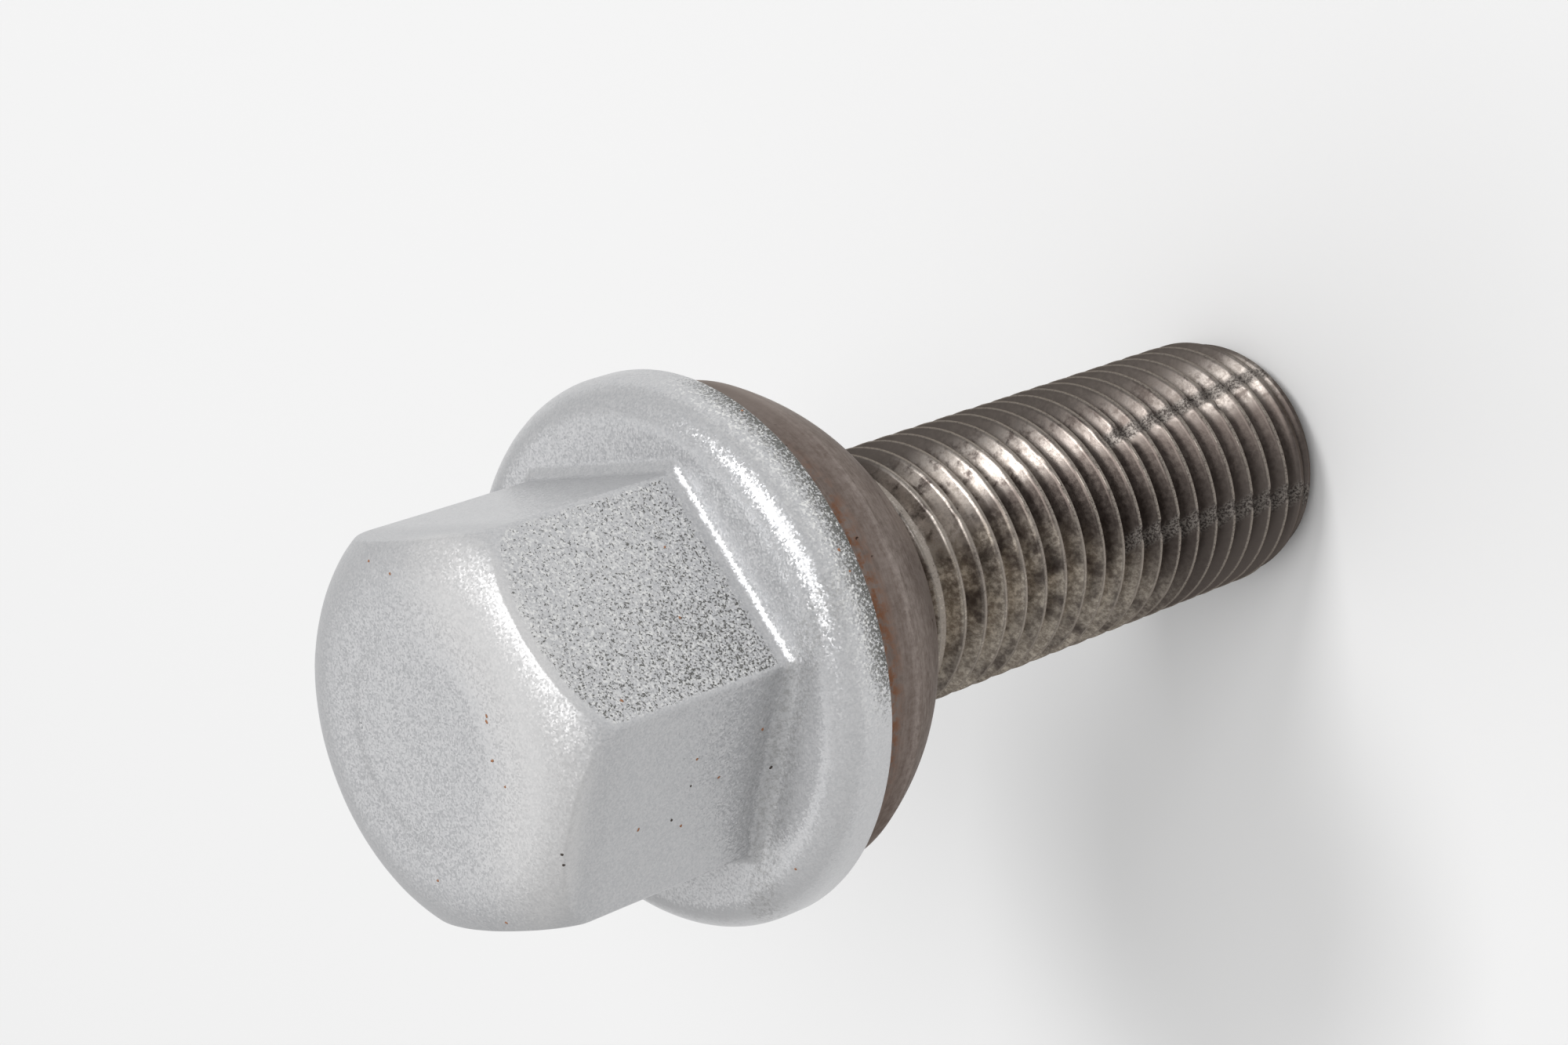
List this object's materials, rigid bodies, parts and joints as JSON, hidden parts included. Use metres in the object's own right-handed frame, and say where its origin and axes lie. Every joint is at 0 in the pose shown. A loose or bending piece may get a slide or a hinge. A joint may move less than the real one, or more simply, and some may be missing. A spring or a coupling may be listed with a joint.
{
  "type": "wheel bolt",
  "caption": "Steel wheel bolt with hexagon head, rounded flange, threaded shank and a loose ball seat ring that turns on the neck under the flange.",
  "frame": {"origin": "centre of the end face of the thread, at the bottom of the standing bolt", "axes": "+Z along the bolt axis from the thread towards the head, +X square to one flat of the hexagon"},
  "size_m": [0.028, 0.028, 0.0586],
  "materials": {
    "silver_coat": "satin silver flake coat, worn thin at the rim of the flange",
    "thread_steel": "dark oiled rolled steel with bright crests",
    "ring_steel": "brown grey satin steel with light rust"
  },
  "bodies": {
    "bolt_body": {"bolt": "silver_coat"},
    "ring_body": {"ball_seat_ring": "ring_steel"}
  },
  "joints": [
    {"name": "ring_spin", "type": "hinge", "parent": "bolt_body", "child": "ring_body", "pos_m": [0, 0, 0.0373], "axis": [0, 0, 1], "continuous": true}
  ]
}
